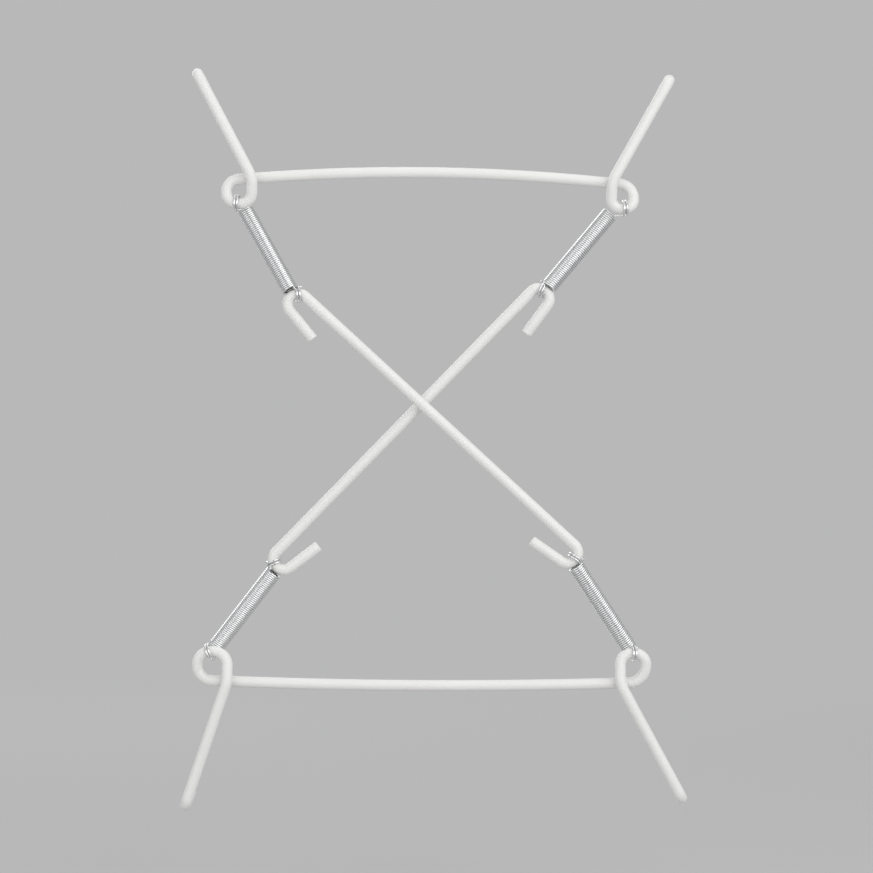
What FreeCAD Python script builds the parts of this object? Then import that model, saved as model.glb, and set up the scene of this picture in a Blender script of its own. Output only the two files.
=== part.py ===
import FreeCAD, Part
import math
import os

# Wire plate hanger: two bent-wire yokes with claws hold a plate at top and bottom, and two cross
# wires tie them together through four close-wound extension springs.
# Frame: millimetres, +Z up as it hangs, +Y towards the plate, -Y towards the wall, +X to the right
# as seen from the wall. The origin is where the nail bears, under the middle of the top bar.

Vector = FreeCAD.Vector

# Every driving dimension: its name and its value in millimetres, degrees or turns.
SIZES = (
    # coated wire, and the room left where one run of it crosses another
    ("wire_diameter", 4.1),
    ("crossing_gap", 0.15),
    ("eye_gap", 0.5),
    # cross wires: lean from upright, crossing to hook centre, and the hook at each end
    ("front_lean", 47.3),
    ("back_lean", 44.4),
    ("upper_share", 58.85),
    ("lower_share", 77.75),
    ("hook_radius", 3.95),
    ("hook_flare", 8.2),
    ("hook_tail", 13.5),
    # springs: wire, outside diameter, turns, the loop on each end and the room between the coated
    # wire in it and the first turn, at an eye and at a hook
    ("spring_wire", 0.75),
    ("spring_diameter", 6.4),
    ("spring_turns", 46),
    ("loop_clearance", 0.2),
    ("loop_strands", 2),
    ("eye_stand", 0.0),
    ("hook_stand", 0.85),
    # springs: how far the coils sit behind their eyes' seats, how far each one stands open, and how
    # far its coil sits inside of its seat
    ("spring_set", 5.0),
    ("top_left_stretch", 0.0),
    ("top_right_stretch", 0.5),
    ("bottom_left_stretch", 0.05),
    ("bottom_right_stretch", 1.75),
    ("top_left_step", 1.0),
    ("top_right_step", 3.0),
    ("bottom_left_step", 0.0),
    ("bottom_right_step", 0.0),
    # yokes: span between the spring seats, and how far they sit off the top yoke's middle
    ("top_eye_span", 143.4),
    ("bottom_eye_span", 157.4),
    ("crossing_shift", -3.5),
    ("bottom_shift", -3.0),
    # eyes: width and height between wire centres, the straight seat at the foot, and the straight
    # left on the outer side
    ("top_left_eye_width", 9.65),
    ("top_right_eye_width", 8.35),
    ("bottom_left_eye_width", 11.35),
    ("bottom_right_eye_width", 9.65),
    ("top_eye_height", 9.75),
    ("bottom_eye_height", 11.3),
    ("spring_seat", 1.0),
    ("eye_straight", 0.4),
    # bars: droop of the ends, and the straight left under each arm
    ("top_bar_droop", 4.9),
    ("bottom_bar_droop", 1.9),
    ("bar_straight", 3.0),
    # arms: lean from the yoke's upright, reach from neck to tip, neck bend, set towards the plate
    ("top_left_arm_lean", 28.6),
    ("top_right_arm_lean", 28.7),
    ("bottom_left_arm_lean", 18.7),
    ("bottom_right_arm_lean", 28.7),
    ("top_arm_reach", 47.1),
    ("bottom_arm_reach", 51.9),
    ("neck_radius", 10.0),
    ("arm_set", 5.0),
    # claws: bend, radius and straight tail
    ("claw_bend", 110.0),
    ("claw_radius", 3.5),
    ("claw_tail", 9.0),
)

# Flat sides that stand for the round of the coated wire, of a spring's turn and of its end loop.
WIRE_SIDES = 10
TURN_SIDES = 6
LOOP_SIDES = 8
STRAND_SIDES = 6

doc = FreeCAD.newDocument("wire_plate_hanger")
sheet = doc.addObject("Spreadsheet::Sheet", "Sizes")
for row, (name, value) in enumerate(SIZES, start=1):
    sheet.set("A%d" % row, name)
    sheet.set("B%d" % row, str(value))
    sheet.setAlias("B%d" % row, name)
doc.recompute()


def size(name):
    return float(sheet.get(name))


def lean_direction(degrees):
    """Unit vector that leans from +Z towards +X by this angle."""
    angle = math.radians(degrees)
    return Vector(math.sin(angle), 0, math.cos(angle))


def quarter_turn(direction):
    """The direction turned a quarter anticlockwise, as seen from the wall."""
    return Vector(-direction.z, 0, direction.x)


def at_depth(point, depth):
    return Vector(point.x, depth, point.z)


def unit(vector):
    return vector / vector.Length


def rounded_path(points, radii):
    """Wire through the points, straight runs joined by tangent arcs of these radii."""
    edges = []
    start = points[0]
    for before, corner, after, radius in zip(points, points[1:], points[2:], radii):
        back = unit(before - corner)
        ahead = unit(after - corner)
        half_turn = (math.pi - back.getAngle(ahead)) / 2
        tangent = radius * math.tan(half_turn)
        crown = radius / math.cos(half_turn) - radius
        arc_start = corner + back * tangent
        arc_end = corner + ahead * tangent
        arc_middle = corner + unit(back + ahead) * crown
        edges.append(Part.LineSegment(start, arc_start).toShape())
        edges.append(Part.Arc(arc_start, arc_middle, arc_end).toShape())
        start = arc_end
    edges.append(Part.LineSegment(start, points[-1]).toShape())
    return Part.Wire(edges)


def bent_wire(label, path):
    """Sweep the coated wire's section along its path, as one sub-part."""
    spine = doc.addObject("Part::Feature", label + "_path")
    spine.Shape = path
    section = doc.addObject("Part::RegularPolygon", label + "_section")
    section.Polygon = WIRE_SIDES
    section.setExpression("Circumradius", "Sizes.wire_diameter / 2")
    first = path.OrderedEdges[0]
    heading = first.tangentAt(first.FirstParameter)
    turn = FreeCAD.Rotation(Vector(0, 0, 1), heading)
    section.Placement = FreeCAD.Placement(path.OrderedVertexes[0].Point, turn)
    sweep = doc.addObject("Part::Sweep", label)
    sweep.Sections = [section]
    sweep.Spine = spine
    sweep.Solid = True
    sweep.Frenet = False
    sweep.Label = label
    return sweep


# Depths of the runs: bars lie at zero, arms pass on the wall side of them, and the eyes' seats and
# the cross wires lie about half way between.
wire_radius = size("wire_diameter") / 2
arm_depth = -(size("wire_diameter") + size("eye_gap"))
seat_depth = arm_depth / 2
cross_step = (size("wire_diameter") + size("crossing_gap")) / 2
front_depth = seat_depth - cross_step
back_depth = seat_depth + cross_step

# Distance from the coated wire's centre to the first turn of a spring, at an eye and at a hook.
eye_reach = wire_radius + size("eye_stand")
hook_reach = wire_radius + size("hook_stand")


class CrossWire:
    """Places on one cross wire: its run, hook centres and hook bends, from the crossing at zero."""

    def __init__(self, lean, depth):
        self.up = lean_direction(lean)
        self.side = quarter_turn(self.up) * -math.copysign(1, lean)
        self.depth = depth
        self.bend = math.radians(180 - size("hook_flare"))
        inset = self.side * size("hook_radius")
        self.upper_hook = self.up * size("upper_share") + inset
        self.lower_hook = self.up * -size("lower_share") + inset

    def on_hook(self, centre, outward, turned):
        """Place and heading on a hook's bend, after turning this far from the main run."""
        spoke = self.side * -math.cos(turned) + outward * math.sin(turned)
        heading = outward * math.cos(turned) + self.side * math.sin(turned)
        return at_depth(centre + spoke * size("hook_radius"), self.depth), heading

    def path(self, origin):
        """Wire from tail to tail, moved so that this origin lies at zero."""
        edges = []
        run_ends = []
        for centre, outward in ((self.upper_hook, self.up), (self.lower_hook, -self.up)):
            run_end, _ = self.on_hook(centre, outward, 0)
            crown, _ = self.on_hook(centre, outward, self.bend / 2)
            tail_start, heading = self.on_hook(centre, outward, self.bend)
            tail_end = tail_start + heading * size("hook_tail")
            edges.append(Part.LineSegment(tail_end, tail_start).toShape())
            edges.append(Part.Arc(tail_start, crown, run_end).toShape())
            run_ends.append(run_end)
        edges.append(Part.LineSegment(*run_ends).toShape())
        path = Part.Wire(Part.sortEdges(edges)[0])
        path.translate(-origin)
        return path


front_wire = CrossWire(-size("front_lean"), front_depth)
back_wire = CrossWire(size("back_lean"), back_depth)


def eye_seat(corner, hook, seat_x, outward):
    """Spring seat of an eye: at this x, one spring away from the hook, above or below it."""
    body = size("spring_turns") * size("spring_wire") + size(corner + "_stretch")
    reach = eye_reach + body + hook_reach + size("hook_radius")
    run = abs(seat_x - hook.x) - size(corner + "_step")
    rise = math.sqrt(reach ** 2 - run ** 2)
    return Vector(seat_x, seat_depth, hook.z + outward * rise)


class Yoke:
    """Places on one yoke: its two seats, its bar and the frame that it is bent in."""

    def __init__(self, name, left_seat, right_seat, outward):
        self.name = name
        self.seats = {"left": left_seat, "right": right_seat}
        self.across = unit(right_seat - left_seat)
        self.away = quarter_turn(self.across) * outward
        droop = math.radians(size(name + "_bar_droop"))
        left_neck = self.neck("left")
        right_neck = self.neck("right")
        half_bar = (right_neck - left_neck).Length / 2
        self.peak = (left_neck + right_neck) / 2 + self.away * (half_bar * math.tan(droop))
        self.peak.y = 0
        bar_tangent = half_bar / math.cos(droop) - size("bar_straight")
        self.bar_radius = bar_tangent / math.tan(droop)
        self.bar_middle = self.peak - self.away * (self.bar_radius * (1 / math.cos(droop) - 1))

    def inward(self, side):
        return self.across if side == "left" else -self.across

    def eye_width(self, side):
        return size("%s_%s_eye_width" % (self.name, side))

    def neck(self, side):
        """Where the arm crosses the bar, at the top of the eye's inner side."""
        inner = self.seats[side] + self.inward(side) * (self.eye_width(side) / 2)
        return at_depth(inner + self.away * size(self.name + "_eye_height"), arm_depth)

    def end_points(self, side):
        """Corners and bend radii from the claw's tip to the eye's shoulder on the bar."""
        half_eye = self.inward(side) * (self.eye_width(side) / 2)
        neck = self.neck(side)
        lean = math.radians(size("%s_%s_arm_lean" % (self.name, side)))
        arm_set = math.radians(size("arm_set"))
        in_plane = self.away * math.cos(lean) - self.inward(side) * math.sin(lean)
        arm = in_plane * math.cos(arm_set) + Vector(0, 1, 0) * math.sin(arm_set)
        plate_side = Vector(0, 1, 0) * math.cos(arm_set) - in_plane * math.sin(arm_set)
        bend = math.radians(size("claw_bend"))
        claw_tangent = size("claw_radius") * math.tan(bend / 2)
        arm_length = size(self.name + "_arm_reach") - wire_radius - size("claw_radius")
        claw = neck + arm * (arm_length + claw_tangent)
        tail = arm * math.cos(bend) + plate_side * math.sin(bend)
        tip = claw + tail * (claw_tangent + size("claw_tail"))
        foot_inner = self.seats[side] + half_eye
        foot_outer = self.seats[side] - half_eye
        bar_end = at_depth(neck, 0)
        slope = unit(self.peak - bar_end)
        shoulder = bar_end - slope * (self.eye_width(side) / slope.dot(self.inward(side)))
        foot_radius = (self.eye_width(side) - size("spring_seat")) / 2
        side_run = (shoulder - foot_outer).Length
        shoulder_turn = (math.pi - (foot_outer - shoulder).getAngle(slope)) / 2
        shoulder_tangent = side_run - foot_radius - size("eye_straight")
        shoulder_radius = shoulder_tangent / math.tan(shoulder_turn)
        points = [tip, claw, neck, foot_inner, foot_outer, shoulder]
        radii = [size("claw_radius"), size("neck_radius"), foot_radius, foot_radius, shoulder_radius]
        return points, radii

    def path(self, origin):
        """Wire from the left claw's tip to the right one's, moved so that this origin lies at zero."""
        left_points, left_radii = self.end_points("left")
        right_points, right_radii = self.end_points("right")
        points = left_points + [self.peak] + right_points[::-1]
        radii = left_radii + [self.bar_radius] + right_radii[::-1]
        return rounded_path([point - origin for point in points], radii)


# Lay the hanger out from the crossing: hooks first, then the seats that the springs reach.
top_middle = -size("crossing_shift")
bottom_middle = top_middle + size("bottom_shift")
half_top = size("top_eye_span") / 2
half_bottom = size("bottom_eye_span") / 2
top_yoke = Yoke(
    "top",
    eye_seat("top_left", front_wire.upper_hook, top_middle - half_top, 1),
    eye_seat("top_right", back_wire.upper_hook, top_middle + half_top, 1),
    1,
)
bottom_yoke = Yoke(
    "bottom",
    eye_seat("bottom_left", back_wire.lower_hook, bottom_middle - half_bottom, -1),
    eye_seat("bottom_right", front_wire.lower_hook, bottom_middle + half_bottom, -1),
    -1,
)
nail_rest = top_yoke.bar_middle - top_yoke.away * wire_radius


def faceted_ring(centre, axis, profile, sides):
    """Solid of revolution in flat sides: a closed profile of (radius, shift) about an axis."""
    side = unit(axis.cross(Vector(0.3, 0.2, 1)) if abs(axis.z) < 0.9 else axis.cross(Vector(0, 1, 0)))
    other = axis.cross(side)
    spokes = []
    for k in range(sides + 1):
        angle = 2 * math.pi * (k % sides) / sides
        spokes.append(side * math.cos(angle) + other * math.sin(angle))
    faces = []
    for spoke, next_spoke in zip(spokes, spokes[1:]):
        for (radius, shift), (next_radius, next_shift) in zip(profile, profile[1:] + profile[:1]):
            near = centre + axis * shift
            far = centre + axis * next_shift
            corners = [
                near + spoke * radius,
                far + spoke * next_radius,
                far + next_spoke * next_radius,
                near + next_spoke * radius,
            ]
            faces.append(Part.Face(Part.makePolygon(corners + corners[:1])))
    shell = Part.makeShell(faces)
    shell.sewShape()
    return Part.makeSolid(shell)


def coil_body(start, length):
    """Hollow stack of turns along +Z, one ridge for each turn."""
    outside = size("spring_diameter") / 2
    root = outside - size("spring_wire") / 2
    bore = outside - size("spring_wire")
    turns = int(size("spring_turns"))
    half_pitch = length / turns / 2
    profile = [(outside if k % 2 else root, k * half_pitch) for k in range(2 * turns + 1)]
    profile += [(bore, length), (bore, 0)]
    return faceted_ring(start, Vector(0, 0, 1), profile, TURN_SIDES)


def end_loop(centre, axis):
    """Closed loop of spring wire, its strands side by side, round a coated wire along this axis."""
    strand_width = size("spring_wire")
    strands = int(size("loop_strands"))
    inside = (wire_radius + size("loop_clearance")) / math.cos(math.pi / LOOP_SIDES)
    middle = inside + strand_width / 2
    outside = inside + strand_width
    half_width = strands * strand_width / 2
    profile = [(inside, strand_width / 2 - half_width), (inside, half_width - strand_width / 2)]
    profile.append((middle, half_width))
    for k in reversed(range(strands)):
        profile.append((outside, (k + 0.5) * strand_width - half_width))
        profile.append((middle, k * strand_width - half_width))
    return faceted_ring(centre, axis, profile, LOOP_SIDES)


def strand(start, end):
    """Straight piece of spring wire between two places."""
    run = end - start
    side = unit(run.cross(Vector(0.3, 1, 0.2)))
    other = unit(run.cross(side))
    corners = []
    for k in range(STRAND_SIDES):
        angle = 2 * math.pi * k / STRAND_SIDES
        spoke = side * math.cos(angle) + other * math.sin(angle)
        corners.append(start + spoke * (size("spring_wire") / 2))
    return Part.Face(Part.makePolygon(corners + corners[:1])).extrude(run)


def square_to_z(vector):
    """Unit vector along the part of this one that lies square to +Z."""
    return unit(Vector(vector.x, vector.y, 0))


def spring(label, seat, foot, hook_seat, seat_axis, hook_axis):
    """One extension spring from an eye's seat to a hook; both axes point to its outer side.

    The coil's axis runs from the foot, beside and behind the seat, to the hook's seat.
    """
    along = hook_seat - foot
    turn = FreeCAD.Rotation(Vector(0, 0, 1), along)
    into_spring = turn.inverted()
    loop_middle = wire_radius + size("loop_clearance") + size("spring_wire") / 2
    rim = (size("spring_diameter") - size("spring_wire")) / 2
    sink = size("spring_wire") / 2
    seat_axis = into_spring.multVec(seat_axis)
    hook_axis = into_spring.multVec(hook_axis)
    loop_seat = into_spring.multVec(seat - foot)
    up = Vector(0, 0, 1)
    far_end = up * along.Length
    turns = coil_body(up * eye_reach, along.Length - eye_reach - hook_reach)
    seat_foot = loop_seat + unit(up - seat_axis * up.dot(seat_axis)) * loop_middle
    seat_rim = square_to_z(seat_axis) * rim + up * (eye_reach + sink)
    hook_foot = far_end - up * loop_middle
    hook_rim = square_to_z(hook_axis) * rim + far_end - up * (hook_reach + sink)
    pieces = [
        end_loop(loop_seat, seat_axis),
        strand(seat_foot, seat_rim),
        strand(hook_foot, hook_rim),
        end_loop(far_end, hook_axis),
    ]
    feature = doc.addObject("Part::Feature", label)
    feature.Shape = turns.multiFuse(pieces)
    feature.Placement = FreeCAD.Placement(foot, turn)
    feature.Label = label
    return feature


def corner_spring(yoke, side, cross_wire, hook):
    """The spring at one corner, from its yoke's eye to the cross wire's hook."""
    seat = yoke.seats[side]
    outer = -yoke.inward(side)
    step = size("%s_%s_step" % (yoke.name, side))
    foot = seat + Vector(-math.copysign(step, outer.x), size("spring_set"), 0)
    pull = unit(at_depth(foot, 0) - hook)
    hook_seat = at_depth(hook + pull * size("hook_radius"), cross_wire.depth)
    hook_axis = quarter_turn(pull)
    hook_axis = hook_axis * math.copysign(1, hook_axis.dot(outer))
    label = "spring_%s_%s" % (yoke.name, side)
    places = [place - nail_rest for place in (seat, foot, hook_seat)]
    return spring(label, *places, outer, hook_axis)


sub_parts = [
    bent_wire("top_yoke", top_yoke.path(nail_rest)),
    bent_wire("bottom_yoke", bottom_yoke.path(nail_rest)),
    bent_wire("cross_wire_front", front_wire.path(nail_rest)),
    bent_wire("cross_wire_back", back_wire.path(nail_rest)),
    corner_spring(top_yoke, "left", front_wire, front_wire.upper_hook),
    corner_spring(top_yoke, "right", back_wire, back_wire.upper_hook),
    corner_spring(bottom_yoke, "left", back_wire, back_wire.lower_hook),
    corner_spring(bottom_yoke, "right", front_wire, front_wire.lower_hook),
]
doc.recompute()

for item in doc.Objects:
    if "Invalid" in item.State or "Error" in item.State:
        raise RuntimeError("%s failed to build: %s" % (item.Label, item.State))
for item in sub_parts:
    if item.Shape.isNull() or not item.Shape.isValid() or len(item.Shape.Solids) != 1:
        raise RuntimeError("%s is not one sound solid" % item.Label)

os.makedirs("parts", exist_ok=True)
for item in sub_parts:
    item.Shape.exportStep("parts/%s.step" % item.Label)
    box = item.Shape.BoundBox
    print("%-20s %8.1f mm3  x %.1f..%.1f  y %.1f..%.1f  z %.1f..%.1f" % (
        item.Label, item.Shape.Volume, box.XMin, box.XMax, box.YMin, box.YMax, box.ZMin, box.ZMax))
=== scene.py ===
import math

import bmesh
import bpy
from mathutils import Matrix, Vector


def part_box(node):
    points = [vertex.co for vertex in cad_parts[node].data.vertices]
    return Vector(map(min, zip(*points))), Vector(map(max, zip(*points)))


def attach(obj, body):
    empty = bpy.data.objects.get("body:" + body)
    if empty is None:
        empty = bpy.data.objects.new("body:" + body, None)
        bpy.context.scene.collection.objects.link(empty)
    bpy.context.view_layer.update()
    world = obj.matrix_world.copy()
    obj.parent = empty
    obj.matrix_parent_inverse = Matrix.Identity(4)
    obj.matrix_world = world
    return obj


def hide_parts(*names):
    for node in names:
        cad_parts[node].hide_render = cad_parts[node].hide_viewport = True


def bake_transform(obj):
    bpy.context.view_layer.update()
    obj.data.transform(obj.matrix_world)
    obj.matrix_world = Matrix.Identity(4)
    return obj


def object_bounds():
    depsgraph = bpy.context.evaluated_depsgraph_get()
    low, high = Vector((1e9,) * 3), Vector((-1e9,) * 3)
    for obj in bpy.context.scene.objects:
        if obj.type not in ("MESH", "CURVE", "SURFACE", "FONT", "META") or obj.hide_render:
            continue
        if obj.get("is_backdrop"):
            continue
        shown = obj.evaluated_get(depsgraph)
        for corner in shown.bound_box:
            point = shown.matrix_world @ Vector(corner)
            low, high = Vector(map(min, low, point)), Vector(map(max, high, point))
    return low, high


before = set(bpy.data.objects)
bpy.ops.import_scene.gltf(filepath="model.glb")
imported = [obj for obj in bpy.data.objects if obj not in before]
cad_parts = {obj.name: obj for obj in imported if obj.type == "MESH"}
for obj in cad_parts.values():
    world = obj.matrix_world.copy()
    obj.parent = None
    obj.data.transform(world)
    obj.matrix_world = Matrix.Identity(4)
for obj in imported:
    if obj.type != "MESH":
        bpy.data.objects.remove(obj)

# %% [markdown]
# # Wire plate hanger
# Two yokes of white coated wire grip a plate with their claws. Two crossed wires and four close-wound
# springs pull the yokes together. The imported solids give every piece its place, and this lesson
# dresses them: round wire in place of wire with flat sides, and springs that are really wound. The
# solids could be shown with better finishes alone, but flat sides and coils without turns would
# catch the eye first. Lengths are in metres; +Z is up, +Y faces the plate and -Y the wall.

MM = 0.001


def in_mm(vector):
    return [round(value / MM, 1) for value in vector]


cad_low, cad_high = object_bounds()
print("CAD box in mm:", in_mm(cad_high - cad_low))

# %% [markdown]
# ## Where the wires run
# A bent wire is a few straight runs and bends, so a handful of sizes gives its whole course. They are
# the same sizes that the solids were made from. The course could be traced point by point instead, but
# then no bend would have a true radius. The two cross wires meet at the crossing, their hooks follow
# from it, and each eye sits one spring away from its hook.

# %% Set the depths and directions
WIRE_RADIUS = 2.05 * MM
CROSSING_GAP = 0.15 * MM
EYE_GAP = 0.5 * MM
ARM_DEPTH = -(2 * WIRE_RADIUS + EYE_GAP)
SEAT_DEPTH = ARM_DEPTH / 2
CROSS_STEP = WIRE_RADIUS + CROSSING_GAP / 2
TOWARDS_PLATE = Vector((0, 1, 0))


def leaning(degrees):
    """Unit vector that leans from +Z towards +X by this angle."""
    angle = math.radians(degrees)
    return Vector((math.sin(angle), 0, math.cos(angle)))


def quarter_turn(direction):
    """The direction turned a quarter anticlockwise, as seen from the wall."""
    return Vector((-direction.z, 0, direction.x))


def at_depth(place, depth):
    """The same place, moved to this depth."""
    return Vector((place.x, depth, place.z))


print("depth of the arms and the spring seats in mm:", in_mm((ARM_DEPTH, SEAT_DEPTH)))

# %% Place the cross wires' hooks
FRONT_LEAN = -47.3
BACK_LEAN = 44.4
UPPER_RUN = 58.85 * MM
LOWER_RUN = 77.75 * MM
HOOK_RADIUS = 3.95 * MM


class CrossWire:
    """One cross wire, laid out from the crossing: its run, its side with the tails and its hooks."""

    def __init__(self, lean, depth):
        self.up = leaning(lean)
        self.side = quarter_turn(self.up) * -math.copysign(1, lean)
        self.depth = depth
        inset = self.side * HOOK_RADIUS
        self.upper_hook = self.up * UPPER_RUN + inset
        self.lower_hook = self.up * -LOWER_RUN + inset


front_wire = CrossWire(FRONT_LEAN, SEAT_DEPTH - CROSS_STEP)
back_wire = CrossWire(BACK_LEAN, SEAT_DEPTH + CROSS_STEP)
HOOKS = {
    "top_left": (front_wire, front_wire.upper_hook),
    "top_right": (back_wire, back_wire.upper_hook),
    "bottom_left": (back_wire, back_wire.lower_hook),
    "bottom_right": (front_wire, front_wire.lower_hook),
}
for corner_name, (_, hook) in HOOKS.items():
    print(corner_name, "hook, in mm from the crossing:", in_mm(hook))

# %% [markdown]
# The yokes were bent by hand on a jig, so no two corners are quite alike: eyes differ in width, arms in
# lean, and the springs in how far they are already drawn out. Mirrored halves would be less to
# write, but the small differences are what makes the hanger look bent and not drawn.

# %% List the sizes of the springs, the yokes and the four corners
SPRING_WIRE = 0.75 * MM
SPRING_TURNS = 46
EYE_REACH = WIRE_RADIUS
HOOK_STAND = 0.85 * MM
HOOK_REACH = WIRE_RADIUS + HOOK_STAND

SIDES = ("left", "right")
YOKES = {
    "top": dict(span=143.4 * MM, eye_height=9.75 * MM, droop=4.9, arm_reach=47.1 * MM, outward=1),
    "bottom": dict(span=157.4 * MM, eye_height=11.3 * MM, droop=1.9, arm_reach=51.9 * MM, outward=-1),
}
CORNERS = {
    "top_left": dict(eye_width=9.65 * MM, arm_lean=28.6, stretch=0.0 * MM, step=1.0 * MM),
    "top_right": dict(eye_width=8.35 * MM, arm_lean=28.7, stretch=0.5 * MM, step=3.0 * MM),
    "bottom_left": dict(eye_width=11.35 * MM, arm_lean=18.7, stretch=0.05 * MM, step=0.0 * MM),
    "bottom_right": dict(eye_width=9.65 * MM, arm_lean=28.7, stretch=1.75 * MM, step=0.0 * MM),
}
print("close-wound coil in mm:", round(SPRING_TURNS * SPRING_WIRE / MM, 1))

# %% Place the yokes' eyes and bars
CROSSING_SHIFT = -3.5 * MM
BOTTOM_SHIFT = -3.0 * MM
BAR_STRAIGHT = 3.0 * MM


class Yoke:
    """One yoke: its two spring seats, its necks where arm and bar cross, and its bowed bar."""

    def __init__(self, name, middle_x):
        self.name = name
        self.sizes = YOKES[name]
        self.seats = {side: self.seat(side, middle_x) for side in SIDES}
        self.across = (self.seats["right"] - self.seats["left"]).normalized()
        self.away = quarter_turn(self.across) * self.sizes["outward"]
        droop = math.radians(self.sizes["droop"])
        left_neck = self.neck("left")
        right_neck = self.neck("right")
        half_bar = (right_neck - left_neck).length / 2
        self.peak = (left_neck + right_neck) / 2 + self.away * (half_bar * math.tan(droop))
        self.peak.y = 0
        bar_tangent = half_bar / math.cos(droop) - BAR_STRAIGHT
        self.bar_radius = bar_tangent / math.tan(droop)
        self.bar_middle = self.peak - self.away * (self.bar_radius * (1 / math.cos(droop) - 1))

    def corner_name(self, side):
        return "%s_%s" % (self.name, side)

    def corner(self, side):
        return CORNERS[self.corner_name(side)]

    def seat(self, side, middle_x):
        """Spring seat: one spring away from the hook, above or below it."""
        corner = self.corner(side)
        hook = HOOKS[self.corner_name(side)][1]
        half_span = self.sizes["span"] / 2
        x = middle_x + (half_span if side == "right" else -half_span)
        coil = SPRING_TURNS * SPRING_WIRE + corner["stretch"]
        reach = EYE_REACH + coil + HOOK_REACH + HOOK_RADIUS
        run = abs(x - hook.x) - corner["step"]
        rise = math.sqrt(reach ** 2 - run ** 2)
        return Vector((x, SEAT_DEPTH, hook.z + self.sizes["outward"] * rise))

    def inward(self, side):
        return self.across if side == "left" else -self.across

    def neck(self, side):
        """Where the arm crosses the bar, at the top of the eye's inner side."""
        inner = self.seats[side] + self.inward(side) * (self.corner(side)["eye_width"] / 2)
        return at_depth(inner + self.away * self.sizes["eye_height"], ARM_DEPTH)


top_yoke = Yoke("top", -CROSSING_SHIFT)
bottom_yoke = Yoke("bottom", -CROSSING_SHIFT + BOTTOM_SHIFT)
origin = top_yoke.bar_middle - top_yoke.away * WIRE_RADIUS
print("crossing in mm:", in_mm(-origin))

# %% Follow one half of a yoke from its claw to its bar
SPRING_SEAT = 1.0 * MM
EYE_STRAIGHT = 0.4 * MM
NECK_RADIUS = 10.0 * MM
ARM_SET = math.radians(5.0)
CLAW_BEND = math.radians(110.0)
CLAW_RADIUS = 3.5 * MM
CLAW_TAIL = 9.0 * MM


def claw_places(yoke, side):
    """The claw's tip and corner, at the end of the arm."""
    lean = math.radians(yoke.corner(side)["arm_lean"])
    in_plane = yoke.away * math.cos(lean) - yoke.inward(side) * math.sin(lean)
    arm = in_plane * math.cos(ARM_SET) + TOWARDS_PLATE * math.sin(ARM_SET)
    plate_side = TOWARDS_PLATE * math.cos(ARM_SET) - in_plane * math.sin(ARM_SET)
    claw_tangent = CLAW_RADIUS * math.tan(CLAW_BEND / 2)
    arm_length = yoke.sizes["arm_reach"] - WIRE_RADIUS - CLAW_RADIUS
    claw = yoke.neck(side) + arm * (arm_length + claw_tangent)
    tail = arm * math.cos(CLAW_BEND) + plate_side * math.sin(CLAW_BEND)
    return [claw + tail * (claw_tangent + CLAW_TAIL), claw]


def eye_places(yoke, side):
    """The eye's neck, inner foot, outer foot and shoulder, and the bend radii of the last three."""
    eye_width = yoke.corner(side)["eye_width"]
    half_eye = yoke.inward(side) * (eye_width / 2)
    neck = yoke.neck(side)
    foot_inner = yoke.seats[side] + half_eye
    foot_outer = yoke.seats[side] - half_eye
    bar_end = at_depth(neck, 0)
    slope = (yoke.peak - bar_end).normalized()
    shoulder = bar_end - slope * (eye_width / slope.dot(yoke.inward(side)))
    foot_radius = (eye_width - SPRING_SEAT) / 2
    side_run = (shoulder - foot_outer).length
    shoulder_turn = (math.pi - (foot_outer - shoulder).angle(slope)) / 2
    shoulder_radius = (side_run - foot_radius - EYE_STRAIGHT) / math.tan(shoulder_turn)
    return [neck, foot_inner, foot_outer, shoulder], [foot_radius, foot_radius, shoulder_radius]


def half_course(yoke, side):
    """Corners and bend radii from the claw's tip to the eye's shoulder on the bar."""
    eye, eye_radii = eye_places(yoke, side)
    return claw_places(yoke, side) + eye, [CLAW_RADIUS, NECK_RADIUS] + eye_radii


for yoke in (top_yoke, bottom_yoke):
    print(yoke.name, "eye radii in mm:", [in_mm(eye_places(yoke, side)[1]) for side in SIDES])

# %% [markdown]
# ## A wire bender in bmesh
# A bending machine feeds wire straight and turns it about a pin. The same two moves make any bent
# wire from one ring of edges: extrude the ring to feed it, and spin it to bend it. The ring stays
# square to the wire all the way, so the tube keeps its round section through every bend. A curve with
# a bevel would be shorter to write, but its rings crowd or thin out at the bends.

# %% Define the bender
BEND_STEP = math.radians(6)
FEWEST_STEPS = 12
END_SEGMENTS = 3
SHARP_ANGLE = math.radians(40)
NO_RISE = Vector()


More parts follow.
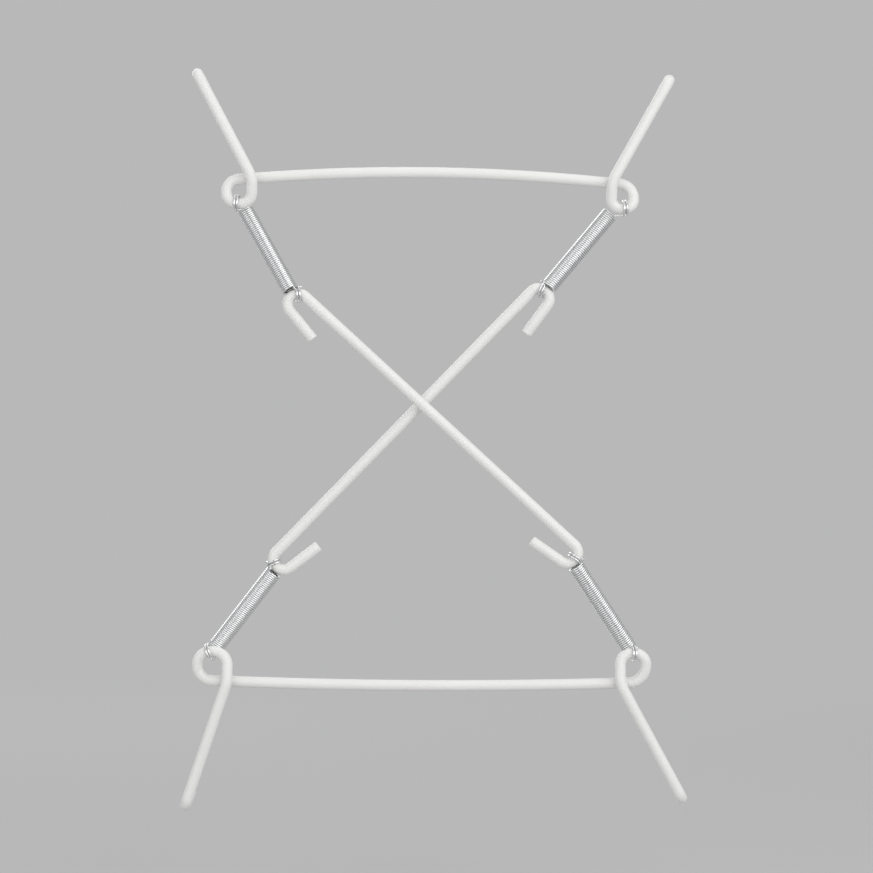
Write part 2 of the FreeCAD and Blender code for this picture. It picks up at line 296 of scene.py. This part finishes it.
class BentWire:
    """A round wire that grows from a capped ring by feeding and bending."""

    def __init__(self, place, heading, radius, sides):
        self.mesh = bmesh.new()
        self.groove = self.mesh.verts.layers.float.new("groove")
        self.radius = radius
        self.place = place.copy()
        self.heading = heading.normalized()
        turn = self.heading.to_track_quat("Z", "Y").to_matrix().to_4x4()
        where = Matrix.Translation(place) @ turn
        bmesh.ops.create_circle(self.mesh, cap_ends=True, radius=radius, segments=sides, matrix=where)
        self.ring = list(self.mesh.edges)
        self.first_ring = list(self.ring)

    def feed(self, length):
        """Push the wire straight on."""
        made = bmesh.ops.extrude_edge_only(self.mesh, edges=self.ring)["geom"]
        corners = {item for item in made if isinstance(item, bmesh.types.BMVert)}
        edges = [item for item in made if isinstance(item, bmesh.types.BMEdge)]
        self.ring = [edge for edge in edges if corners.issuperset(edge.verts)]
        bmesh.ops.translate(self.mesh, verts=list(corners), vec=self.heading * length)
        self.place = self.place + self.heading * length

    def turn_about(self, centre, axis, angle, steps, rise=NO_RISE):
        """Carry the end round an axis, and along it by this rise."""
        corners = list(dict.fromkeys(corner for edge in self.ring for corner in edge.verts))
        made = bmesh.ops.spin(
            self.mesh, geom=self.ring + corners, cent=centre, axis=axis, dvec=rise / steps,
            angle=angle, steps=steps, use_duplicate=False)
        self.ring = [item for item in made["geom_last"] if isinstance(item, bmesh.types.BMEdge)]
        turn = Matrix.Rotation(angle, 3, axis)
        self.place = centre + turn @ (self.place - centre) + rise
        self.heading = turn @ self.heading

    def bend(self, radius, heading):
        """Bend round a pin of this radius until the wire runs along the new heading."""
        angle = self.heading.angle(heading)
        axis = self.heading.cross(heading).normalized()
        centre = self.place + axis.cross(self.heading) * radius
        self.turn_about(centre, axis, angle, max(FEWEST_STEPS, math.ceil(angle / BEND_STEP)))

    def follow(self, places, radii):
        """Run through these corners, each rounded to its radius, to the last place."""
        for corner, after, radius in zip(places, places[1:], radii):
            heading = (after - corner).normalized()
            tangent = radius * math.tan(self.heading.angle(heading) / 2)
            self.feed((corner - self.place).length - tangent)
            self.bend(radius, heading)
        self.feed((places[-1] - self.place).length)

    def finished(self, name, end_bevel):
        """Close and soften the cut ends, and hand over a smooth object."""
        bmesh.ops.contextual_create(self.mesh, geom=self.ring)
        bmesh.ops.bevel(
            self.mesh, geom=self.first_ring + self.ring, offset=end_bevel, affect="EDGES",
            segments=END_SEGMENTS, profile=0.5, material=-1)
        bmesh.ops.recalc_face_normals(self.mesh, faces=self.mesh.faces)
        data = bpy.data.meshes.new(name)
        self.mesh.to_mesh(data)
        self.mesh.free()
        data.shade_smooth()
        data.set_sharp_from_angle(angle=SHARP_ANGLE)
        piece = bpy.data.objects.new(name, data)
        bpy.context.scene.collection.objects.link(piece)
        print(name, "has", len(data.polygons), "faces")
        return piece


# %% [markdown]
# ## The coated wires
# Each yoke is one wire: claw, arm, eye, bar, eye, arm, claw. Where it crosses itself the arm passes on
# the wall side of the bar. Separate tubes for arm, eye and bar would show their joints, so the bender
# runs the whole wire in one go. The cut ends are square, with a rim that the coating has softened.

# %% Bend the two yokes
WIRE_SIDES = 24
WIRE_END_BEVEL = 0.45 * MM


def bent_yoke(yoke, name):
    """The wire of one yoke, from the left claw to the right one."""
    left_places, left_radii = half_course(yoke, "left")
    right_places, right_radii = half_course(yoke, "right")
    places = [place - origin for place in left_places + [yoke.peak] + right_places[::-1]]
    radii = left_radii + [yoke.bar_radius] + right_radii[::-1]
    wire = BentWire(places[0], places[1] - places[0], WIRE_RADIUS, WIRE_SIDES)
    wire.follow(places[1:], radii)
    return wire.finished(name, WIRE_END_BEVEL)


coated_wires = {
    "top_yoke": bent_yoke(top_yoke, "upper_yoke_wire"),
    "bottom_yoke": bent_yoke(bottom_yoke, "lower_yoke_wire"),
}

# %% [markdown]
# Each cross wire is a straight run with an open hook on both ends, bent back nearly parallel to the run.
# The hooks could be followed from corner to corner too, but a bend of almost half a turn has its corner
# far away, so here the wire turns straight about the hook's pin.

# %% Bend the two cross wires
HOOK_OPENING = 8.2
HOOK_BEND = math.radians(180 - HOOK_OPENING)
HOOK_TAIL = 13.5 * MM


def bent_cross_wire(layout, name):
    """One cross wire, from the tail of its lower hook to the tail of its upper one."""
    turned = math.copysign(HOOK_BEND, layout.side.cross(layout.up).y)
    hook = at_depth(layout.lower_hook - origin, layout.depth)
    run_start = hook - layout.side * HOOK_RADIUS
    back_turn = Matrix.Rotation(turned, 3, TOWARDS_PLATE)
    tail_heading = back_turn @ -layout.up
    tail_start = hook + back_turn @ (run_start - hook)
    wire = BentWire(tail_start + tail_heading * HOOK_TAIL, -tail_heading, WIRE_RADIUS, WIRE_SIDES)
    wire.feed(HOOK_TAIL)
    steps = math.ceil(HOOK_BEND / BEND_STEP)
    wire.turn_about(hook, TOWARDS_PLATE, -turned, steps)
    wire.feed(UPPER_RUN + LOWER_RUN)
    upper_hook = at_depth(layout.upper_hook - origin, layout.depth)
    wire.turn_about(upper_hook, TOWARDS_PLATE, -turned, steps)
    wire.feed(HOOK_TAIL)
    return wire.finished(name, WIRE_END_BEVEL)


coated_wires["cross_wire_front"] = bent_cross_wire(front_wire, "front_cross_wire")
coated_wires["cross_wire_back"] = bent_cross_wire(back_wire, "back_cross_wire")

for node, piece in coated_wires.items():
    low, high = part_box(node)
    print(node, "solid and dressed size in mm:", in_mm(high - low), in_mm(piece.dimensions))

# %% [markdown]
# ## The springs
# Each spring is wound close from bright wire. Its last turn is bent up from the rim, runs beside the
# coated wire and loops twice round it. A curve or a Screw modifier could make the coil, but not lead the
# same wire on into its loops. A spin that also rises is a screw, so the bender only has to learn to
# wind, and the whole spring is one length of wire: loop, strand, coil, strand, loop. Each corner of
# the mesh keeps how deep it lies between two turns, so that the finish can paint shade there.

# %% Let the bender wind coils
MERGE_DISTANCE = 0.001 * MM
AIM_ROUNDS = 4


class WoundWire(BentWire):
    """A bent wire that can also be wound into a coil and led to a place."""

    def wind(self, centre, axis, turns, steps, pitch):
        """Wind whole turns of a coil: one turn is spun, and copies of it are set end to end.

        Each corner also notes how near it lies to the line where two turns touch, from 0 to 1.
        """
        earlier = set(self.mesh.faces)
        coil_radius = (self.place - centre).cross(axis).length
        self.turn_about(centre, axis, 2 * math.pi, steps, pitch)
        turn = [face for face in self.mesh.faces if face not in earlier]
        for corner in {corner for face in turn for corner in face.verts}:
            crest = (corner.co - centre).cross(axis).length - coil_radius
            corner[self.groove] = 1 - min(1, abs(crest) / self.radius)
        for _ in range(turns - 1):
            copy = bmesh.ops.duplicate(self.mesh, geom=turn)
            self.ring = [copy["edge_map"][edge] for edge in self.ring]
            turn = [item for item in copy["geom"] if isinstance(item, bmesh.types.BMFace)]
            corners = [item for item in copy["geom"] if isinstance(item, bmesh.types.BMVert)]
            bmesh.ops.translate(self.mesh, verts=corners, vec=pitch)
            self.place = self.place + pitch
        bmesh.ops.remove_doubles(self.mesh, verts=self.mesh.verts, dist=MERGE_DISTANCE)

    def run_to(self, radius, place):
        """Bend towards a place and run straight on to it."""
        heading = (place - self.place).normalized()
        for _ in range(AIM_ROUNDS):
            tangent = radius * math.tan(self.heading.angle(heading) / 2)
            heading = (place - self.place - self.heading * tangent).normalized()
        self.bend(radius, heading)
        self.feed((place - self.place).length)


# %% [markdown]
# The loops have slid to a different place round each bend and lie a little askew. One shape for all
# eight ends would be simpler, but it would look stamped. So every end has three angles of its own: how
# far it has slid round the bend, how far its wall side is tilted along the wire, and how far it leans.
# A loop keeps some play round the wire and sinks a little to the inner side of the bend, so that the
# bend doesn't cut into it.

# %% Say how each loop lies
STRAND_RADIUS = SPRING_WIRE / 2
LOOP_PLAY = 0.34 * MM
LOOP_SINK = 0.2 * MM
LOOP_PITCH = 1.05 * MM
LOOP_ANGLE = math.radians(690)

# Slide, tilt and lean of each loop, in degrees.
LOOPS = {
    "top_left": dict(eye=(3, 12, 0), hook=(28, 10, 0)),
    "top_right": dict(eye=(8, 6, 0), hook=(22, 12, 0)),
    "bottom_left": dict(eye=(5, 10, -22), hook=(31, 8, 0)),
    "bottom_right": dict(eye=(1, 6, 0), hook=(26, 8, 0)),
}
print("turns of wire in a loop:", round(LOOP_ANGLE / (2 * math.pi), 2))


# %% Find the wire that a loop grips
def eye_grip(yoke, side, slide):
    """The wire this many degrees round the eye from its seat, outwards if above 0.

    Gives its place, its heading and the direction to the inner side of the eye.
    """
    (neck, foot_inner, foot_outer, shoulder), radii = eye_places(yoke, side)
    corner, leg_end = (foot_outer, shoulder) if slide > 0 else (foot_inner, neck)
    level = (corner - yoke.seats[side]).normalized()
    leg = (leg_end - corner).normalized()
    rise = (leg - level * leg.dot(level)).normalized()
    radius = radii[0]
    angle = math.radians(abs(slide))
    start = corner - level * (radius * math.tan(level.angle(leg) / 2))
    place = start + (level * math.sin(angle) + rise * (1 - math.cos(angle))) * radius
    heading = level * math.cos(angle) + rise * math.sin(angle)
    return place, heading, rise * math.cos(angle) - level * math.sin(angle)


def hook_grip(cross_wire, hook, pull, slide):
    """The wire on a hook's bend, this many degrees from the pull to the run.

    Gives its place, its heading and the direction to the inner side of the bend.
    """
    to_run = quarter_turn(pull)
    to_run = to_run * math.copysign(1, -to_run.dot(cross_wire.side))
    angle = math.radians(slide)
    spoke = pull * math.cos(angle) + to_run * math.sin(angle)
    heading = to_run * math.cos(angle) - pull * math.sin(angle)
    return at_depth(hook + spoke * HOOK_RADIUS, cross_wire.depth), heading, -spoke


# %% Work out one end of a spring
SPRING_DIAMETER = 6.4 * MM
COIL_RADIUS = SPRING_DIAMETER / 2 - STRAND_RADIUS
STRAND_BEND = 0.55 * MM
SETTLE_ROUNDS = 8


def bend_lead(before, after):
    """How far before its corner a bend of the strand starts."""
    return STRAND_BEND * math.tan(before.angle(after) / 2)


class SpringEnd:
    """One end: the loops round the coated wire, and the strand from them to the coil's rim."""

    def __init__(self, grip, tilt, lean, coil_end, along, sense):
        place, heading, inner = grip
        turned = Matrix.Rotation(math.radians(lean), 3, TOWARDS_PLATE) @ heading
        angle = math.radians(tilt)
        self.axis = (turned * math.cos(angle) + TOWARDS_PLATE * math.sin(angle)).normalized()
        self.radius = (WIRE_RADIUS + STRAND_RADIUS + LOOP_PLAY) / math.cos(self.axis.angle(heading))
        self.shift = self.axis * LOOP_PITCH * LOOP_ANGLE / (2 * math.pi)
        self.centre = place + inner * LOOP_SINK - origin - self.shift / 2
        aside = heading - TOWARDS_PLATE
        aside = (aside - along * aside.dot(along)).normalized()
        self.coil_heading = along.cross(aside)
        self.rim = coil_end + aside * COIL_RADIUS
        self.meet_loop()
        self.heading = (self.touch - self.rim).normalized()
        for _ in range(SETTLE_ROUNDS):
            lead = bend_lead(self.coil_heading, self.heading * sense)
            self.rim = coil_end + aside * math.sqrt(COIL_RADIUS ** 2 - lead ** 2)
            self.meet_loop()
            self.foot = self.rim + self.heading * lead
            self.approach = self.touch - self.tangent * bend_lead(self.heading, self.tangent)
            self.heading = (self.approach - self.foot).normalized()

    def meet_loop(self):
        """Find where a strand from the rim touches the loop, on the side of the wall."""
        spoke = self.rim - self.centre
        flat = spoke - self.axis * spoke.dot(self.axis)
        open_angle = math.acos(min(1, self.radius / flat.length))
        turns = [Matrix.Rotation(sign * open_angle, 3, self.axis) for sign in (1, -1)]
        reach = min([turn @ flat.normalized() for turn in turns], key=lambda choice: choice.y)
        self.touch = self.centre + reach * self.radius
        around = self.axis.cross(reach)
        self.sense = math.copysign(1, around.dot(self.touch - self.rim))
        self.tangent = (around * self.radius * self.sense + self.shift / LOOP_ANGLE).normalized()


# %% [markdown]
# Winding starts at the free end of the loop on the eye, so that loop is unwound first to find where the
# wire begins. The coil has one turn more than the solid, because the real one reaches right up to
# its hook. A spring that is already drawn out gives part of its stretch to the strand at the eye.

# %% Wind a spring from end to end
STRAND_SIDES = 10
STRAND_END_BEVEL = STRAND_RADIUS / 4
LOOP_STEPS = 48
COIL_STEPS = 28
FEWEST_PART_STEPS = 3
EXTRA_TURNS = 1


def wound_spring(name, seat_end, hook_end, coil_start, coil_end):
    """One spring: loop on the eye, strand, coil, strand, loop on the hook."""
    along = (coil_end - coil_start).normalized()
    unwind = Matrix.Rotation(seat_end.sense * LOOP_ANGLE, 3, seat_end.axis)
    free_end = seat_end.centre + unwind @ (seat_end.touch - seat_end.centre) + seat_end.shift
    wire = WoundWire(free_end, unwind @ -seat_end.tangent, STRAND_RADIUS, STRAND_SIDES)
    seat_turn = -seat_end.sense * LOOP_ANGLE
    wire.turn_about(seat_end.centre, seat_end.axis, seat_turn, LOOP_STEPS, -seat_end.shift)
    wire.run_to(STRAND_BEND, seat_end.foot)
    wire.bend(STRAND_BEND, seat_end.coil_heading)
    first_spoke = wire.place - coil_start
    last_spoke = hook_end.rim - coil_end
    sine = along.dot(first_spoke.cross(last_spoke))
    cosine = first_spoke.dot(last_spoke) - first_spoke.dot(along) * last_spoke.dot(along)
    part_turn = math.atan2(sine, cosine) / (2 * math.pi) % 1
    turns = SPRING_TURNS + EXTRA_TURNS
    pitch = along * ((coil_end - wire.place).dot(along) / (turns + part_turn))
    part_steps = max(FEWEST_PART_STEPS, round(COIL_STEPS * part_turn))
    wire.turn_about(coil_start, along, 2 * math.pi * part_turn, part_steps, pitch * part_turn)
    wire.wind(coil_start, along, turns, COIL_STEPS, pitch)
    heading = hook_end.heading
    wire.run_to(STRAND_BEND, hook_end.approach - heading * bend_lead(heading, hook_end.tangent))
    wire.bend(STRAND_BEND, hook_end.tangent)
    hook_turn = hook_end.sense * LOOP_ANGLE
    wire.turn_about(hook_end.centre, hook_end.axis, hook_turn, LOOP_STEPS, hook_end.shift)
    return wire.finished(name, STRAND_END_BEVEL)


# %% Wind the four springs
SPRING_SET = 5.0 * MM
STRAND_SHARE = 0.2


def corner_spring(yoke, side):
    """The spring at one corner, with the places where its coil starts and ends."""
    corner_name = yoke.corner_name(side)
    corner = yoke.corner(side)
    cross_wire, hook = HOOKS[corner_name]
    step = math.copysign(corner["step"], yoke.inward(side).x)
    foot = yoke.seats[side] + Vector((step, SPRING_SET, 0))
    pull = (at_depth(foot, 0) - hook).normalized()
    hook_seat = at_depth(hook + pull * HOOK_RADIUS, cross_wire.depth)
    along = (hook_seat - foot).normalized()
    coil_start = foot + along * (EYE_REACH + corner["stretch"] * STRAND_SHARE) - origin
    coil_end = hook_seat - along * (HOOK_REACH - EXTRA_TURNS * SPRING_WIRE) - origin
    slide, tilt, lean = LOOPS[corner_name]["eye"]
    seat_end = SpringEnd(eye_grip(yoke, side, slide), tilt, lean, coil_start, along, sense=-1)
    slide, tilt, lean = LOOPS[corner_name]["hook"]
    grip = hook_grip(cross_wire, hook, pull, slide)
    hook_end = SpringEnd(grip, tilt, lean, coil_end, along, sense=1)
    name = "spring_%s_wound" % corner_name
    return wound_spring(name, seat_end, hook_end, coil_start, coil_end), coil_start, coil_end


springs = {}
for yoke in (top_yoke, bottom_yoke):
    for side in SIDES:
        springs["spring_%s" % yoke.corner_name(side)] = corner_spring(yoke, side)

# %% [markdown]
# ## Finishes
# A finish is a tree of nodes, and it could be wired up socket by socket. Sums read better as plain
# arithmetic, so one small class wraps a socket and turns + and * into Math nodes. One method of the
# graph makes every other node.


# %% Define the shader helpers
class Shade:
    """A socket whose value can be used in a Python expression."""

    def __init__(self, graph, socket):
        self.graph = graph
        self.socket = socket

    def combined(self, operation, first, second):
        return self.graph.node("ShaderNodeMath", {"operation": operation}, {0: first, 1: second})

    def __add__(self, other):
        return self.combined("ADD", self, other)

    def __radd__(self, other):
        return self.combined("ADD", other, self)

    def __mul__(self, other):
        return self.combined("MULTIPLY", self, other)

    def __rmul__(self, other):
        return self.combined("MULTIPLY", other, self)


class Graph:
    """A node tree, with one method that adds a node and one that closes the tree."""

    def __init__(self, name, tree):
        self.name = name
        self.tree = tree
        self.tree.nodes.clear()

    def node(self, kind, settings=None, inputs=None, output=0):
        """Add a node: first its settings, then the values or links of its sockets."""
        made = self.tree.nodes.new(kind)
        for name, value in (settings or {}).items():
            setattr(made, name, value)
        for key, value in (inputs or {}).items():
            if isinstance(value, Shade):
                self.tree.links.new(value.socket, made.inputs[key])
            else:
                made.inputs[key].default_value = value
        return Shade(self, made.outputs[output]) if made.outputs else None

    def close(self, kind, surface):
        """Lead the finished surface to an output node."""
        self.node(kind, None, {"Surface": surface})
        print(self.name, "has", len(self.tree.nodes), "nodes")


def new_material(name):
    material = bpy.data.materials.new(name)
    material.use_nodes = True
    return material, Graph(name, material.node_tree)


# %% Define the noise and the mix of two colours
MIX_FACTOR = 0
MIX_FIRST = 6
MIX_SECOND = 7
MIX_RESULT = 2
ROUGH_DETAIL = 3.0
EVEN_DETAIL = 1.0


def noise(graph, scale, detail):
    """Noise in the piece's own space, with this many spots to a metre."""
    place = graph.node("ShaderNodeTexCoord", output="Object")
    return graph.node("ShaderNodeTexNoise", None, {"Vector": place, "Scale": scale, "Detail": detail})


def mixed_colour(graph, factor, first, second):
    """From the first colour to the second. The node's colour sockets go by number, not by name."""
    sockets = {MIX_FACTOR: factor, MIX_FIRST: first, MIX_SECOND: second}
    return graph.node("ShaderNodeMix", {"data_type": "RGBA"}, sockets, MIX_RESULT)


def bumped(graph, height, strength, depth):
    return graph.node("ShaderNodeBump", None, {"Height": height, "Strength": strength, "Distance": depth})


# %% [markdown]
# The wire's coating is a satin white plastic, a little warm, with the faint orange peel of a powder
# coat. It is not quite even: a slow drift of tone and gloss follows the wire. A painted picture would
# need a map of every bend, while noise in space runs through the bends without a seam.

# %% Make the white coating
COATING_WHITE = (0.84, 0.838, 0.825, 1)
COATING_SHADE = (0.78, 0.775, 0.76, 1)
COATING_ROUGHNESS = 0.34
COATING_ROUGHNESS_DRIFT = 0.16
COATING_IOR = 1.48
DRIFT_SCALE = 55.0
DRIFT_SHARE = 0.7
PEEL_SCALE = 450.0
PEEL_STRENGTH = 0.1
PEEL_DEPTH = 0.03 * MM

coating, graph = new_material("white_coating")
drift = noise(graph, DRIFT_SCALE, ROUGH_DETAIL)
peel = noise(graph, PEEL_SCALE, EVEN_DETAIL)
surface = graph.node("ShaderNodeBsdfPrincipled", None, {
    "Base Color": mixed_colour(graph, drift * DRIFT_SHARE, COATING_WHITE, COATING_SHADE),
    "Roughness": COATING_ROUGHNESS + drift * COATING_ROUGHNESS_DRIFT,
    "Normal": bumped(graph, peel, PEEL_STRENGTH, PEEL_DEPTH),
    "IOR": COATING_IOR})
graph.close("ShaderNodeOutputMaterial", surface)

# %% [markdown]
# The springs are bright zinc on drawn wire: metal all over, with small changes of gloss from turn to
# turn. Plain metal would let the close turns run together into a smooth tube. Hardly any light reaches
# the line where two turns touch, so the depth that the winding noted paints that line near-black:
# a painted shade, not a colour of the zinc.

# %% Make the bright spring wire
ZINC_BRIGHT = (0.90, 0.905, 0.91, 1)
ZINC_DULL = (0.78, 0.785, 0.785, 1)
# Near-black painted shade for the lines between turns; the zinc itself is just as bright there.
ZINC_GROOVE_SHADE = (0.06, 0.062, 0.065, 1)
ZINC_ROUGHNESS = 0.16
ZINC_ROUGHNESS_MOTTLE = 0.16
GROOVE_SHADE_START = 0.55
GROOVE_SHADE_END = 1.0
MOTTLE_SCALE = 420.0
DRAWN_SCALE = 5200.0
DRAWN_STRENGTH = 0.2
DRAWN_DEPTH = 0.02 * MM

zinc, graph = new_material("bright_zinc")
mottle = noise(graph, MOTTLE_SCALE, ROUGH_DETAIL)
drawn = noise(graph, DRAWN_SCALE, EVEN_DETAIL)
groove = graph.node("ShaderNodeAttribute", {"attribute_name": "groove"}, output="Fac")
# The groove depth sets where the painted shade darkens the zinc.
shadow = graph.node("ShaderNodeMapRange", {"interpolation_type": "SMOOTHSTEP"}, {
    "Value": groove, "From Min": GROOVE_SHADE_START, "From Max": GROOVE_SHADE_END})
tone = mixed_colour(graph, mottle, ZINC_BRIGHT, ZINC_DULL)
surface = graph.node("ShaderNodeBsdfPrincipled", None, {
    "Base Color": mixed_colour(graph, shadow, tone, ZINC_GROOVE_SHADE),
    "Metallic": 1.0,
    "Roughness": ZINC_ROUGHNESS + mottle * ZINC_ROUGHNESS_MOTTLE,
    "Normal": bumped(graph, drawn, DRAWN_STRENGTH, DRAWN_DEPTH)})
graph.close("ShaderNodeOutputMaterial", surface)

# %% [markdown]
# ## What moves with what
# A coated wire is stiff, so it rides on one body. A spring hangs between two bodies that draw apart. If
# it rode on one of them, its other loop would come off the wire, so the springs ride on no body here:
# each stays where it was wound.

# %% Finish the pieces, and let the coated wires ride on the frame
for node, piece in coated_wires.items():
    piece.data.materials.append(coating)
    body = node if node.endswith("yoke") else "cross_wires"
    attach(piece, body)
    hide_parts(node)

for node, (piece, coil_start, coil_end) in springs.items():
    piece.data.materials.append(zinc)
    if node.startswith("spring_top"):
        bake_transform(piece)
    else:
        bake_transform(piece)
    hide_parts(node)

print(len(coated_wires), "pieces ride and", len(springs), "are blended")

# %% [markdown]
# ## Stage, light and camera
# The hanger hangs free over a plain pale floor. White wire needs a ground that is a little darker than
# itself, so floor and background are a light grey. A curved backdrop could hide where the floor ends.
# Here a flat sheet does it with less: its paint fades into the colour of the background.

# %% Lay the floor
FLOOR_SIZE = 12.0
FLOOR_DROP = 30 * MM

floor_height = cad_low.z - FLOOR_DROP
floor_mesh = bmesh.new()
bmesh.ops.create_grid(floor_mesh, x_segments=1, y_segments=1, size=FLOOR_SIZE / 2)
bmesh.ops.translate(floor_mesh, verts=floor_mesh.verts, vec=(0, 0, floor_height))
floor_data = bpy.data.meshes.new("floor")
floor_mesh.to_mesh(floor_data)
floor_mesh.free()
floor = bpy.data.objects.new("floor", floor_data)
bpy.context.scene.collection.objects.link(floor)
floor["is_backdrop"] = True
print("floor lies at", round(floor_height / MM, 1), "mm")

# %% Paint the floor
GROUND = (0.48, 0.48, 0.485, 1)
FLOOR_PAINT = (0.52, 0.52, 0.525, 1)
FADE_START = 0.25
FADE_END = 1.1

paint, graph = new_material("pale_floor")
place = graph.node("ShaderNodeTexCoord", output="Object")
from_middle = graph.node("ShaderNodeVectorMath", {"operation": "LENGTH"}, {0: place}, "Value")
fade = graph.node("ShaderNodeMapRange", {"interpolation_type": "SMOOTHSTEP"}, {
    "Value": from_middle, "From Min": FADE_START, "From Max": FADE_END})
matte = graph.node("ShaderNodeBsdfDiffuse", None, {"Color": FLOOR_PAINT})
plain = graph.node("ShaderNodeEmission", None, {"Color": GROUND, "Strength": 1.0})
faded = graph.node("ShaderNodeMixShader", None, {0: fade, 1: matte, 2: plain})
graph.close("ShaderNodeOutputMaterial", faded)
floor_data.materials.append(paint)

# %% [markdown]
# Soft light from all round lifts the shaded sides of the wires. A brighter sky would do that too, but it
# would wash out the ground. So the room only gives light, and the ground's grey is what the lens and
# the shiny springs see of it.

# %% Light the room
ROOM_COLOUR = (1, 1, 1, 1)
ROOM_LIGHT = 0.5

world = bpy.data.worlds.new("studio")
world.use_nodes = True
bpy.context.scene.world = world
graph = Graph("studio", world.node_tree)
camera_ray = graph.node("ShaderNodeLightPath", output="Is Camera Ray")
glossy_ray = graph.node("ShaderNodeLightPath", output="Is Glossy Ray")
clear_ray = graph.node("ShaderNodeLightPath", output="Is Transmission Ray")
seen = camera_ray + glossy_ray + clear_ray
room = graph.node("ShaderNodeBackground", None, {"Color": ROOM_COLOUR, "Strength": ROOM_LIGHT})
backdrop = graph.node("ShaderNodeBackground", None, {"Color": GROUND, "Strength": 1.0})
shown = graph.node("ShaderNodeMixShader", None, {0: seen, 1: room, 2: backdrop})
graph.close("ShaderNodeOutputWorld", shown)

# %% [markdown]
# Four large lamps shape the wires: a key from the right, a weaker fill from the lower left, one from
# behind for the rims and one from above for the shadow on the floor. Small lamps would draw hard
# streaks along the coating, and large ones leave the broad, soft shine of a powder coat.

# %% Hang the lamps
LAMPS = {
    "key": dict(place=(0.85, -1.05, 0.25), size=1.9, brightness=1.5),
    "fill": dict(place=(-0.85, -1.0, -0.3), size=1.8, brightness=1.3),
    "back": dict(place=(-0.5, 1.3, 0.6), size=1.3, brightness=1.6),
    "top": dict(place=(0.0, 0.0, 1.3), size=1.2, brightness=1.0),
}
middle = (cad_low + cad_high) / 2


def soft_lamp(name, place, size, brightness):
    """A round area lamp whose face is this bright, where 1 shows as white in a mirror.

    A flat lamp's power is its brightness times its area times pi.
    """
    data = bpy.data.lights.new(name, "AREA")
    data.shape = "DISK"
    data.size = size
    area = math.pi * (size / 2) ** 2
    data.energy = brightness * area * math.pi
    lamp = bpy.data.objects.new(name, data)
    lamp.location = place
    lamp.rotation_euler = (middle - Vector(place)).to_track_quat("-Z", "Y").to_euler()
    bpy.context.scene.collection.objects.link(lamp)
    print(name, "lamp gives", round(data.energy, 1), "W")


for name, lamp in LAMPS.items():
    soft_lamp(name, **lamp)

# %% [markdown]
# The picture is taken square on to the hanger, from far enough away for all its wires to keep their true
# proportions. The camera could be set by eye. Two readings place it exactly: how much a pixel spans on
# the hanger, and at which pixel the origin lies.

# %% Set the camera square to the hanger
PICTURE = 873
PIXEL = 0.374 * MM
ORIGIN_PIXEL = (432.0, 177.6)
LENS = 120.0
SENSOR = 36.0

camera_data = bpy.data.cameras.new("camera")
camera_data.lens = LENS
camera_data.sensor_width = SENSOR
camera = bpy.data.objects.new("camera", camera_data)
camera_distance = PICTURE * PIXEL * LENS / SENSOR
camera.location = (
    (PICTURE / 2 - ORIGIN_PIXEL[0]) * PIXEL,
    SEAT_DEPTH - camera_distance,
    (ORIGIN_PIXEL[1] - PICTURE / 2) * PIXEL,
)
camera.rotation_euler = (math.pi / 2, 0, 0)
bpy.context.scene.collection.objects.link(camera)
bpy.context.scene.camera = camera
bpy.context.scene.view_settings.view_transform = "Standard"
print("camera stands", round(camera_distance, 2), "m away")

# %% [markdown]
# ## Last look at the size
# Dressing a part must not change its size. The boxes of the solids and of the dressed part are both
# printed.

low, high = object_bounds()
print("visual box in mm:", in_mm(high - low))
